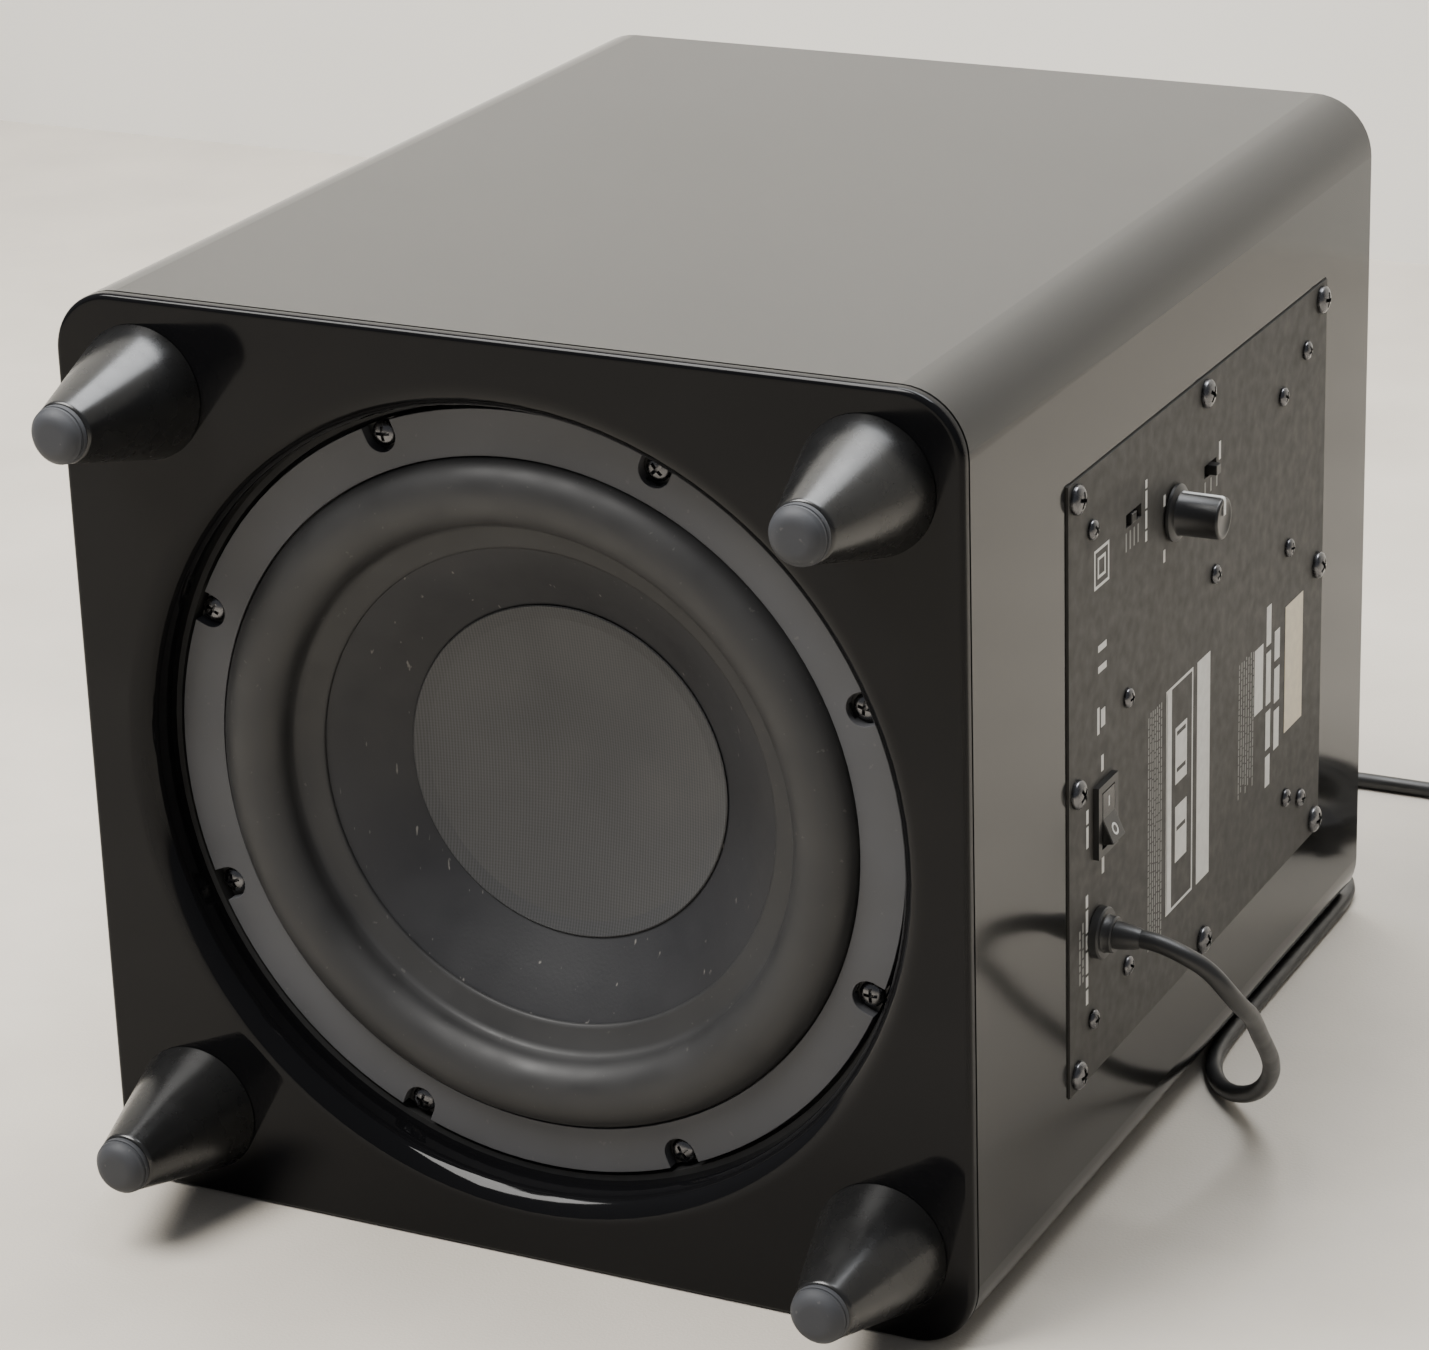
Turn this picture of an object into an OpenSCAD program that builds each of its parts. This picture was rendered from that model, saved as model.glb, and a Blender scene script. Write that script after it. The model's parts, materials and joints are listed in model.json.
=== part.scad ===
// Powered subwoofer lying on its side: sealed box, one long-throw driver, four cone feet on the
// gloss panel (-Y), amplifier plate on the +X side, mains lead on the same surface as the cabinet.
// Depths are measured along +Y from the gloss panel's outer face.

/* [Cabinet] */
// Width and height of the square cabinet section
cab_w = 310; // [300:1:330]
// Length of the cabinet, gloss face to far face
cab_d = 360; // [345:1:400]
// Board thickness of the cabinet sleeve
wall = 15; // [12:0.5:18]
// Radius of the four long edges
edge_r = 21; // [18:0.5:26]
// Thickness of the gloss panel
gloss_t = 16; // [14:0.5:20]
// Visible rim of the gloss panel, outside the sleeve
rim_t = 4; // [3:0.5:6]
// Shadow gap between the rim and the sleeve
seam = 0.6; // [0.3:0.1:1]
// Thickness of the inner baffle that carries the driver
baffle_t = 18; // [16:0.5:20]

/* [Driver opening] */
// Radius of the opening through the gloss panel
hole_r = 131.5; // [130.5:0.5:133]
// Radius of the rounded lip of the opening
lip_round = 8.5; // [5:0.5:10]

/* [Driver] */
// Outer radius of the driver frame
frame_r = 128; // [127:0.5:129]
// Depth of the trim ring's front face
ring_depth = 15; // [14:0.5:15]
// Radius of the screw circle
screw_circle_r = 124; // [123.5:0.5:124.5]
// Number of driver screws
screw_count = 8; // [4:1:8]
// Outer radius of the visible surround
surround_r = 112.5; // [111:0.5:113]
// Height of the surround's half roll
roll_h = 9.5; // [6:0.5:10]
// Radius where the surround's inner lip ends on the cone
cone_crease_r = 80.3; // [78:0.1:82]
// Radius of the dust cap
cap_r = 56; // [50:0.5:58]
// Depth of the dish of the dust cap
cap_dish = 11; // [8:0.5:12]

/* [Feet] */
// Distance of the feet from the driver axis, along X and Z
foot_offset = 124.3; // [122:0.1:126]
// Radius of a foot at the panel
foot_r = 22; // [18:0.5:24]
// Radius of a foot at its rubber tip
foot_tip_r = 9.4; // [8.8:0.1:11]
// Length of a foot with its rubber tip
foot_len = 50; // [48:1:60]

/* [Amplifier plate] */
// Length of the plate along Y
plate_l = 236; // [232:1:238]
// Height of the plate along Z
plate_h = 205.5; // [202:0.5:208]
// Thickness of the plate
plate_t = 2; // [1.5:0.5:3]
// How far the plate stands proud of the side it is let into
plate_proud = 0.7; // [0:0.1:2]
// Place of the plate's centre along Y
plate_y = 15; // [12:0.5:18]
// Height of the plate's centre
plate_z = 155; // [153:0.5:156]

/* [Controls] */
// Height of the volume knob above its skirt's underside
knob_h = 16.8; // [12:0.1:18]
// Radius of the knob
knob_r = 7; // [6:0.5:8]
// Tilt of the power rocker to each side
rocker_tilt = 12; // [8:1:13]

/* [Mains lead] */
// Diameter of the lead
cord_d = 6; // [5:0.5:6]

/* [Hidden] */

$fn = 72;
axis_z = cab_w / 2;
front_y = -cab_d / 2;
inner_w = cab_w - 2 * wall;
inner_r = edge_r - wall;
board_gap = 0.3;
sleeve_depth = rim_t + seam;
far_t = 15;
baffle_back = gloss_t + baffle_t;

// Driver depths
flange_depth = ring_depth + 4;
flange_t = 3;
seal_t = 1.5;
rebate_depth = flange_depth + flange_t + seal_t;
rebate_r = frame_r + 1.5;
cutout_r = 115;
basket_wall_r = 113.5;
cone_slope = 0.63;
lip_slope = 0.35;
roll_in_r = 90;
crease_depth = ring_depth + 9.5;
lip_in_depth = crease_depth - lip_slope * (roll_in_r - cone_crease_r);
former_r = 25.3;
former_t = 0.4;
coil_t = 1.1;
pole_r = 24.8;
gap_r = 27.3;
spider_depth = 66;
ledge_depth = 70;
ledge_r = 77;
seat_depth = 83;
motor_depth = 86;
top_plate_t = 7;
magnet_t = 18;
yoke_t = 7;
magnet_r = 65;
window_w = 62;
window_count = 6;

// Screws
driver_screw_head_r = 4.2;
driver_screw_r = 2;
notch_r = 5.4;
wood_screw_l = 12;
bolt_r = 3;
plate_screw_r = 2;
small_screw_r = 1.5;

// Amplifier
side_x = cab_w / 2;
plate_seal_t = 0.8;
plate_out = side_x + plate_proud;
plate_in = plate_out - plate_t;
seal_in = plate_in - plate_seal_t;
cut_l = 213;
cut_h = 182;
plate_pitch_y = 112;
plate_pitch_z = 97;
plate_holes = [for (y = [-1, 0, 1], z = [-1, 0, 1]) if (y != 0 || z != 0)
    [plate_y + y * plate_pitch_y, plate_z + z * plate_pitch_z]];
box_l = 209;
box_h = 178;
box_wall = 1.5;
box_back_x = 84;
box_screw_y = [-84.3, 111.7];
box_screw_z = [72.2, 238.2];
board_screw_y = [-54.3, 96.4];
board_screw_z = [78.2, 171.7];
control_screw = [23.9, 186.7];
heatsink_screw = [88.2, 228.7];
small_holes = concat([for (y = box_screw_y, z = box_screw_z) [y, z]],
                     [for (y = board_screw_y, z = board_screw_z) [y, z]],
                     [control_screw, heatsink_screw]);
board_x = 133.5;
board_t = 1.6;
control_x = 137;
knob_pos = [-13.8, 220.7];
knob_gap = 0.5;
skirt_r = 9.6;
skirt_t = 2.2;
pointer_w = 1.3;
shaft_r = 3;
bush_r = 3.5;
crossover_pos = [-48.8, 231];
crossover_rest = -1.3;
mode_pos = [19.5, 225];
slider_l = 4;
slider_w = 3.4;
rocker_pos = [-75, 139.4];
rocker_pivot_x = 154.9;
rocker_half_l = 8.6;
rocker_w = 10.2;
rocker_pin_r = 1.5;
bushing_pos = [-80, 101];
bushing_bore_r = 4.6;
relief_r = 4.5;
relief_end_x = 171;

// Mains lead: round points from the bushing to the coil, laid on the surface z = 0
cord_route = [
    [171, -80, 101], [174, -80, 101], [179.5, -80, 100], [185.5, -79.5, 97.5], [190.5, -78, 94.5],
    [194.5, -76.5, 90.5], [198, -74, 84.5], [200.5, -67, 76], [200.5, -59, 70.5], [199, -47, 57.5],
    [198, -37, 48], [196, -27, 39], [193, -18, 30], [188, -9, 20.5], [181, -1, 12], [172, 7, 6],
    [163.5, 15, 3], [156.5, 25, 3], [152.5, 37, 3], [151, 50, 3], [150.5, 65, 3], [150.5, 88, 3],
    [150.5, 112, 3], [150.5, 136, 3], [150.5, 158, 3], [150.5, 177, 3], [149, 191, 3],
    [141.5, 204, 3], [129, 211.5, 3], [111, 214, 3], [92, 216, 3], [76, 223, 3], [66, 236, 3],
    [62, 252, 3], [69, 270, 3], [83, 284, 3], [102, 292, 3], [125, 293, 3], [158, 293, 3],
    [192, 293, 3]];
coil_pos = [210, 254];
coil_in_r = 21;
coil_out_r = 42;
coil_h = 12;
tie_w = 5;
tie_t = 0.8;
plug_x = 249;
plug_y = 238;
plug_relief_l = 20;
plug_body_l = 35;
plug_h = 13.7;
pin_l = 19;
pin_r = 2;
pin_pitch = 18.6;

// ---- helpers ----
function arc(cx, cy, rx, ry, a0, a1, n) =
    [for (i = [0:n]) let (a = a0 + (a1 - a0) * i / n) [cx + rx * cos(a), cy + ry * sin(a)]];
function unit(v) = v / norm(v);
function along(p, i) = unit(p[min(i + 1, len(p) - 1)] - p[max(i - 1, 0)]);
function ring_at(p, i, r, n) =
    let (t = along(p, i), s = unit(cross(t, [0, 0, 1])), u = cross(s, t))
    [for (k = [0:n - 1]) p[i] + r * (cos(360 * k / n) * s + sin(360 * k / n) * u)];

// Tube along a list of points
module sweep(p, r, n = 8) {
    rings = len(p);
    points = [for (i = [0:rings - 1]) each ring_at(p, i, r, n)];
    sides = [for (i = [0:rings - 2], k = [0:n - 1])
        [i * n + k, i * n + (k + 1) % n, (i + 1) * n + (k + 1) % n, (i + 1) * n + k]];
    start_cap = [[for (k = [0:n - 1]) n - 1 - k]];
    end_cap = [[for (k = [0:n - 1]) (rings - 1) * n + k]];
    polyhedron(points, concat(sides, start_cap, end_cap), convexity = 6);
}

// Places children so that local z is the depth on the driver axis
module on_axis() translate([0, front_y, axis_z]) rotate([-90, 0, 0]) children();

// Places children on the +X side: local z runs along +X, local y along +Y
module on_side(pos, x) translate([x, pos[0], pos[1]]) rotate([0, 90, 0]) children();

// Places children at the four feet: local z runs away from the panel
module at_foot(i) {
    sx = i % 2 == 0 ? -1 : 1;
    sz = i < 2 ? 1 : -1;
    translate([sx * foot_offset, front_y, axis_z + sz * foot_offset]) rotate([90, 0, 0]) children();
}

module rounded(w, r) {
    square([w - 2 * r, w], center = true);
    square([w, w - 2 * r], center = true);
    for (x = [-1, 1], y = [-1, 1]) translate([x * (w / 2 - r), y * (w / 2 - r)]) circle(r);
}

module rounded_board(w, r, depth, t) translate([0, 0, depth]) linear_extrude(t) rounded(w, r);

module side_box(pos, x0, x1, l, h)
    translate([x0, pos[0] - l / 2, pos[1] - h / 2]) cube([x1 - x0, l, h]);

module pan_screw(head_r, head_h, shaft_r, shaft_l) {
    rotate_extrude() polygon([[0, -shaft_l], [shaft_r, -shaft_l], [shaft_r, 0], [head_r, 0],
        [head_r, head_h * 0.4], [head_r * 0.75, head_h * 0.85], [0, head_h]]);
}

// ---- cabinet ----
module cabinet_sleeve() color([0.16, 0.16, 0.16]) difference() {
    on_axis() difference() {
        rounded_board(cab_w, edge_r, sleeve_depth, cab_d - sleeve_depth);
        rounded_board(inner_w, inner_r, sleeve_depth - 1, cab_d - sleeve_depth + 2);
    }
    side_box([plate_y, plate_z], side_x - wall - 2, side_x + 2, cut_l, cut_h);
    side_box([plate_y, plate_z], seal_in, side_x + 2, plate_l + 0.8, plate_h + 0.8);
    for (p = plate_holes) on_side(p, plate_in - wood_screw_l) cylinder(r = plate_screw_r + 0.05, h = 20);
}

module top_panel() color([0.17, 0.17, 0.17]) on_axis()
    rounded_board(inner_w - 2 * board_gap, inner_r - board_gap, cab_d - far_t, far_t);

module gloss_panel() color([0.03, 0.03, 0.035]) difference() {
    on_axis() difference() {
        union() {
            rounded_board(cab_w, edge_r, 0, rim_t);
            rounded_board(inner_w - 2 * board_gap, inner_r - board_gap, rim_t, gloss_t - rim_t);
        }
        rotate_extrude() polygon(concat([[0, -1], [hole_r + lip_round, -1]],
            arc(hole_r + lip_round, lip_round, lip_round, lip_round, 270, 180, 8),
            [[hole_r, gloss_t + 1], [0, gloss_t + 1]]));
    }
    for (i = [0:3]) at_foot(i) translate([0, 0, -gloss_t - 1]) cylinder(r = bolt_r + 0.3, h = gloss_t + 2);
}

module driver_baffle() color([0.45, 0.36, 0.25]) difference() {
    on_axis() difference() {
        rounded_board(inner_w - 2 * board_gap, inner_r - board_gap, gloss_t, baffle_t);
        translate([0, 0, gloss_t - 1]) cylinder(r = rebate_r, h = rebate_depth - gloss_t + 1);
        translate([0, 0, gloss_t]) cylinder(r = cutout_r, h = baffle_t + 1);
        driver_screw_places(rebate_depth - 1) cylinder(r = driver_screw_r + 0.05, h = 9);
    }
    for (i = [0:3]) at_foot(i) translate([0, 0, -baffle_back - 1])
        cylinder(r = bolt_r + 0.3, h = baffle_t + 2);
}

// ---- feet ----
module foot(i) color([0.07, 0.07, 0.07]) at_foot(i) difference() {
    rotate_extrude() polygon([[0, 0], [foot_r, 0], [foot_r, 0.8], [foot_tip_r + 0.4, foot_len - 7],
        [foot_tip_r, foot_len - 5.6], [foot_tip_r - 0.6, foot_len - 5], [0, foot_len - 5]]);
    translate([0, 0, -1]) cylinder(r = bolt_r + 0.05, h = 20);
    translate([0, 0, foot_len - 11]) cylinder(r = 4, h = 8);
}

module foot_pad(i) color([0.2, 0.2, 0.21]) at_foot(i) rotate_extrude()
    polygon(concat([[0, foot_len - 10.8], [3.95, foot_len - 10.8], [3.95, foot_len - 5],
        [foot_tip_r - 0.9, foot_len - 5], [foot_tip_r - 0.7, foot_len - 4.2],
        [foot_tip_r - 1.3, foot_len - 3.4]],
        arc(3, foot_len - 3.4, foot_tip_r - 4.6, 3.4, 15, 90, 5), [[0, foot_len]]));

module foot_bolts() color("silver") for (i = [0:3]) at_foot(i) {
    translate([0, 0, -baffle_back]) cylinder(r = bolt_r, h = baffle_back + 17);
    translate([0, 0, -baffle_back - 1.4]) cylinder(r = 8, h = 1.4);
    translate([0, 0, -baffle_back - 6]) cylinder(r = 5.5, h = 5, $fn = 6);
}

// ---- driver ----
module driver_screw_places(depth)
    for (k = [0:screw_count - 1]) rotate([0, 0, 360 * (k + 0.5) / screw_count])
        translate([screw_circle_r, 0, depth]) children();

module driver_basket() color([0.09, 0.09, 0.09]) on_axis() difference() {
    rotate_extrude() polygon([[110, flange_depth], [frame_r, flange_depth],
        [frame_r, flange_depth + flange_t], [basket_wall_r, flange_depth + flange_t],
        [basket_wall_r - 1.5, 38], [ledge_r + 3, spider_depth], [ledge_r + 3, ledge_depth + 2.5],
        [71, ledge_depth + 2.5], [71, motor_depth], [31, motor_depth], [31, seat_depth],
        [68, seat_depth], [68, ledge_depth], [ledge_r, ledge_depth], [ledge_r, spider_depth - 1],
        [109, 37], [110, flange_depth + flange_t]]);
    for (k = [0:window_count - 1]) rotate([0, 0, 360 * k / window_count])
        translate([60, -window_w / 2, 42]) cube([60, window_w, 19]);
    translate([ledge_r + 3.2, -13, 55]) cube([12, 26, 11.2]);
    driver_screw_places(flange_depth - 1) cylinder(r = driver_screw_r + 0.4, h = flange_t + 2);
}

module driver_trim_ring() color([0.18, 0.18, 0.19]) on_axis() difference() {
    rotate_extrude() polygon([[surround_r + 0.3, ring_depth], [frame_r, ring_depth],
        [frame_r, flange_depth], [119.2, flange_depth], [119.2, ring_depth + 2.2],
        [surround_r + 0.3, ring_depth + 2.2]]);
    driver_screw_places(ring_depth - 1) cylinder(r = notch_r, h = 6);
    driver_screw_places(ring_depth - 1) translate([0, -notch_r, 0]) cube([10, 2 * notch_r, 6]);
}

module driver_seal() color([0.1, 0.1, 0.1]) on_axis() difference() {
    translate([0, 0, flange_depth + flange_t]) cylinder(r = frame_r - 0.5, h = seal_t);
    translate([0, 0, flange_depth]) cylinder(r = cutout_r, h = 8);
    driver_screw_places(flange_depth) cylinder(r = driver_screw_r + 0.4, h = 8);
}

module driver_screws() color([0.05, 0.05, 0.05]) on_axis() driver_screw_places(flange_depth)
    rotate([180, 0, 0]) pan_screw(driver_screw_head_r, 2.8, driver_screw_r, 12);

module surround() color([0.13, 0.13, 0.14]) on_axis() rotate_extrude() {
    mid_r = (surround_r + roll_in_r) / 2;
    half_w = (surround_r - roll_in_r) / 2;
    polygon(concat([[119, flange_depth], [119, flange_depth - 1.6], [surround_r, flange_depth - 1.6]],
        arc(mid_r, flange_depth - 1.2, half_w, roll_h, 0, -180, 16),
        [[roll_in_r, lip_in_depth - 1.2], [cone_crease_r, crease_depth - 1.2],
         [cone_crease_r, crease_depth - 0.05], [roll_in_r, lip_in_depth - 0.05]],
        arc(mid_r, flange_depth, half_w - 1.6, roll_h - 1.6, -180, 0, 16)));
}

module cone() color([0.14, 0.14, 0.15]) on_axis() rotate_extrude() {
    neck = former_r + former_t + 0.1;
    neck_depth = crease_depth + cone_slope * (cone_crease_r - neck);
    polygon([[roll_in_r, lip_in_depth], [cone_crease_r, crease_depth], [neck, neck_depth],
        [neck, neck_depth + 3], [neck + 1.2, neck_depth + 3], [neck + 1.2, neck_depth + 1],
        [cone_crease_r, crease_depth + 1.3], [roll_in_r, lip_in_depth + 1.2]]);
}

module dust_cap() color([0.25, 0.25, 0.26]) on_axis() {
    edge_depth = crease_depth + cone_slope * (cone_crease_r - cap_r) - 0.3;
    rotate_extrude() polygon(concat(
        [for (i = [0:10]) let (r = cap_r * i / 10) [r, edge_depth + cap_dish * (1 - pow(r / cap_r, 2)) - 0.8]],
        [for (i = [10:-1:0]) let (r = (cap_r - 0.6) * i / 10)
            [r, edge_depth + cap_dish * (1 - pow(r / cap_r, 2)) - 0.2]]));
}

module coil_former() color([0.75, 0.6, 0.35]) on_axis() difference() {
    translate([0, 0, 55]) cylinder(r = former_r + former_t, h = 43);
    translate([0, 0, 54]) cylinder(r = former_r, h = 45);
}

module voice_coil() color([0.72, 0.4, 0.2]) on_axis() difference() {
    translate([0, 0, 82]) cylinder(r = former_r + former_t + coil_t, h = 15);
    translate([0, 0, 81]) cylinder(r = former_r + former_t, h = 17);
}

module spider() color([0.75, 0.65, 0.35]) on_axis() rotate_extrude() {
    in_r = former_r + former_t + 0.05;
    waves = [for (i = [0:24]) [29 + i * 1.6, spider_depth + 2.6 + 1.6 * cos(i * 90)]];
    polygon(concat([[in_r, spider_depth], [in_r + 1.5, spider_depth], [in_r + 1.5, spider_depth + 2]],
        waves, [[ledge_r - 0.3, ledge_depth - 1], [ledge_r - 0.3, ledge_depth], [68.5, ledge_depth]],
        [for (i = [24:-1:0]) [29 + i * 1.6, waves[i][1] + 0.8]],
        [[in_r, spider_depth + 3]]));
}

module top_plate() color("dimgray") on_axis() difference() {
    translate([0, 0, motor_depth]) cylinder(r = 60, h = top_plate_t);
    translate([0, 0, motor_depth - 1]) cylinder(r = gap_r, h = top_plate_t + 2);
}

module magnet() color([0.2, 0.2, 0.2]) on_axis() difference() {
    translate([0, 0, motor_depth + top_plate_t]) cylinder(r = magnet_r, h = magnet_t);
    translate([0, 0, motor_depth]) cylinder(r = 34, h = top_plate_t + magnet_t + 2);
}

module pole_yoke() color("dimgray") on_axis() {
    back = motor_depth + top_plate_t + magnet_t;
    difference() {
        union() {
            translate([0, 0, back]) cylinder(r = 58, h = yoke_t);
            translate([0, 0, motor_depth]) cylinder(r = pole_r, h = back - motor_depth + 1);
        }
        translate([0, 0, motor_depth - 1]) cylinder(r = 9, h = 60);
    }
}

module magnet_boot() color([0.06, 0.06, 0.06]) on_axis() {
    start = motor_depth + top_plate_t + 1;
    back = motor_depth + top_plate_t + magnet_t + yoke_t;
    rotate_extrude() polygon([[magnet_r + 0.2, start], [magnet_r + 2.2, start],
        [magnet_r + 2.2, back - 1], [magnet_r - 1, back + 2], [20, back + 2], [20, back + 0.1],
        [58.3, back + 0.1], [58.3, back - yoke_t + 0.1], [magnet_r + 0.2, back - yoke_t + 0.1]]);
}

module terminal_strip() color([0.35, 0.25, 0.12]) on_axis() {
    translate([ledge_r + 3.3, -12, 57]) cube([3, 24, 15]);
    for (y = [-6, 6]) translate([ledge_r + 6.2, y - 3, 66]) cube([9, 6, 0.8]);
}

module tinsel_leads() color("peru") for (y = [-6, 6]) on_axis()
    sweep([[80.2, y, 59], [75, y, 59], [69, y, 57], [62, y, 53], [55, y, 49], [50.5, y, 45.6]], 0.8, 6);

// ---- amplifier ----
module amp_plate() color([0.11, 0.11, 0.11]) difference() {
    side_box([plate_y, plate_z], plate_in, plate_out, plate_l, plate_h);
    for (p = plate_holes) on_side(p, plate_in - 1) cylinder(r = plate_screw_r + 0.4, h = 5);
    for (p = small_holes) on_side(p, plate_in - 1) cylinder(r = small_screw_r + 0.2, h = 5);
    on_side(knob_pos, plate_in - 1) cylinder(r = bush_r + 0.2, h = 5);
    on_side(bushing_pos, plate_in - 1) cylinder(r = 6.1, h = 5);
    side_box(crossover_pos, plate_in - 1, plate_out + 1, 13, 4.4);
    side_box(mode_pos, plate_in - 1, plate_out + 1, 11, 4.4);
    side_box(rocker_pos, plate_in - 1, plate_out + 1, 13.2, 21.8);
}

module amp_seal() color([0.05, 0.05, 0.05]) difference() {
    side_box([plate_y, plate_z], seal_in, plate_in, plate_l - 2, plate_h - 2);
    side_box([plate_y, plate_z], seal_in - 1, plate_in + 1, cut_l, cut_h);
    for (p = plate_holes) on_side(p, seal_in - 1) cylinder(r = plate_screw_r + 0.4, h = 4);
}

module amp_screws() color([0.06, 0.06, 0.06]) for (p = plate_holes) on_side(p, plate_out)
    pan_screw(4.8, 3, plate_screw_r, 13);

module amp_small_screws() color([0.06, 0.06, 0.06]) {
    for (p = small_holes) on_side(p, plate_out) pan_screw(3.3, 2.2, small_screw_r, 7);
    for (y = board_screw_y, z = board_screw_z) on_side([y, z], board_x) mirror([0, 0, 1])
        pan_screw(3.3, 2.2, small_screw_r, 6);
    on_side(control_screw, control_x) mirror([0, 0, 1]) pan_screw(3.3, 2.2, small_screw_r, 6);
}

module amp_back_box() color([0.2, 0.2, 0.2]) {
    difference() {
        side_box([plate_y, plate_z], box_back_x, plate_in - 0.1, box_l, box_h);
        side_box([plate_y, plate_z], box_back_x + box_wall, plate_in + 1,
            box_l - 2 * box_wall, box_h - 2 * box_wall);
        on_side([-60, 155], box_back_x - 1) cylinder(r = 5, h = 4);
    }
    for (y = box_screw_y, z = box_screw_z) on_side([y, z], plate_in - 20.1) difference() {
        union() {
            cylinder(r = 4.6, h = 20);
            translate([-1.5, 0, 0]) cube([3, 6.6, 20]);
        }
        translate([0, 0, 10]) cylinder(r = small_screw_r + 0.05, h = 12);
    }
}

module main_board() color([0.1, 0.35, 0.18]) difference() {
    translate([board_x, -60, 70]) cube([board_t, 166, 108]);
    for (y = board_screw_y, z = board_screw_z) on_side([y, z], board_x - 1) cylinder(r = 1.7, h = 4);
}

module standoff(pos, x0) on_side(pos, x0) difference() {
    cylinder(r = 3.5, h = plate_in - x0);
    translate([0, 0, -1]) cylinder(r = small_screw_r + 0.05, h = 6);
    translate([0, 0, plate_in - x0 - 8]) cylinder(r = small_screw_r + 0.05, h = 9);
}

module board_standoffs() color("silver") {
    for (y = board_screw_y, z = board_screw_z) standoff([y, z], board_x + board_t);
    standoff(control_screw, control_x + board_t);
}

module capacitors() color([0.1, 0.12, 0.25]) for (z = [100, 130])
    on_side([-35, z], board_x - 40) cylinder(r = 12.5, h = 40);

module supply_transformer() color([0.75, 0.7, 0.3]) {
    translate([board_x - 30, 0, 84]) cube([30, 36, 40]);
    translate([board_x - 26, -4, 90]) cube([18, 44, 28]);
}

module filter_coils() color([0.7, 0.35, 0.15]) for (z = [96, 134])
    on_side([76, z], board_x - 14) difference() {
        cylinder(r = 14, h = 14);
        translate([0, 0, -1]) cylinder(r = 6, h = 16);
    }

module heatsink() color("lightgray") difference() {
    translate([118, 36, 182]) cube([plate_in - 118, 62, 54]);
    for (k = [0:6]) translate([117, 40.5 + k * 8.2, 181]) cube([29, 5.6, 56]);
    on_side(heatsink_screw, plate_in - 6) cylinder(r = small_screw_r + 0.05, h = 7);
}

module output_devices() color([0.08, 0.08, 0.08]) for (z = [186, 206])
    translate([126, 31.2, z]) cube([15, 4.6, 10]);

module control_board() color([0.1, 0.35, 0.18]) difference() {
    translate([control_x, -62, 182]) cube([board_t, 92, 56]);
    on_side(control_screw, control_x - 1) cylinder(r = 1.7, h = 4);
}

module volume_knob() color([0.05, 0.05, 0.05]) {
    base = plate_out + knob_gap;
    difference() {
        on_side(knob_pos, base) difference() {
            union() {
                cylinder(r = skirt_r, h = skirt_t);
                cylinder(r = knob_r, h = knob_h);
            }
            translate([0, 0, -1]) cylinder(r = 6.3, h = 3.9);
            translate([0, 0, -1]) cylinder(r = shaft_r, h = 12);
        }
        pointer_block(0);
    }
}

// White line: along the knob's +Z side and over its face to the centre
module pointer_block(play) {
    base = plate_out + knob_gap;
    w = pointer_w - play;
    translate([base + skirt_t + 0.3, knob_pos[0] - w / 2, knob_pos[1] + knob_r - 0.7])
        cube([knob_h - skirt_t - 0.3, w, 0.75]);
    translate([base + knob_h - 0.6, knob_pos[0] - w / 2, knob_pos[1] + 0.5])
        cube([0.65, w, knob_r - 0.6]);
}

module knob_pointer() color("white") pointer_block(0.04);

module pot_shaft() color("silver") on_side(knob_pos, 143.5) {
    cylinder(r = shaft_r - 0.02, h = plate_out + knob_gap + 10.8 - 143.5);
}

module pot_body() color([0.3, 0.3, 0.32]) difference() {
    union() {
        side_box(knob_pos, control_x + board_t, 146.5, 16.5, 17);
        on_side(knob_pos, 146) cylinder(r = bush_r, h = plate_out + 2.4 - 146);
    }
    on_side(knob_pos, 143) cylinder(r = shaft_r + 0.02, h = 20);
}

module pot_nut() color("silver") on_side(knob_pos, plate_out + 0.02) difference() {
    cylinder(r = 5.7, h = 2, $fn = 6);
    translate([0, 0, -1]) cylinder(r = bush_r + 0.02, h = 4);
}

module slide_switch(pos, window_l) difference() {
    side_box(pos, control_x + board_t, plate_in - 0.05, window_l + 5, 8);
    side_box(pos, 145.5, plate_in + 1, window_l, 4.4);
}

module slider(pos, rest, out) translate([0, rest, 0])
    side_box(pos, 145.6, plate_out + out, slider_l, slider_w);

module crossover_switch() color([0.12, 0.12, 0.12]) slide_switch(crossover_pos, 13);
module crossover_slider() color([0.06, 0.06, 0.06]) slider(crossover_pos, crossover_rest, 0.8);
module mode_switch() color([0.12, 0.12, 0.12]) slide_switch(mode_pos, 11);
module mode_slider() color([0.06, 0.06, 0.06]) slider(mode_pos, 0, 3);

module power_switch() color([0.05, 0.05, 0.05]) difference() {
    union() {
        side_box(rocker_pos, 132, plate_out + 0.1, 13, 21.6);
        side_box(rocker_pos, plate_out, plate_out + 2, 16.5, 24.5);
        for (y = [-4, 0, 4]) translate([124, rocker_pos[0] + y - 0.4, rocker_pos[1] - 2.4])
            cube([9, 0.8, 4.8]);
    }
    side_box(rocker_pos, 145, plate_out + 3, 10.8, 19.4);
    translate([rocker_pivot_x, rocker_pos[0] - 5.9, rocker_pos[1]]) rotate([-90, 0, 0])
        cylinder(r = rocker_pin_r + 0.05, h = 11.8);
}

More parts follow.
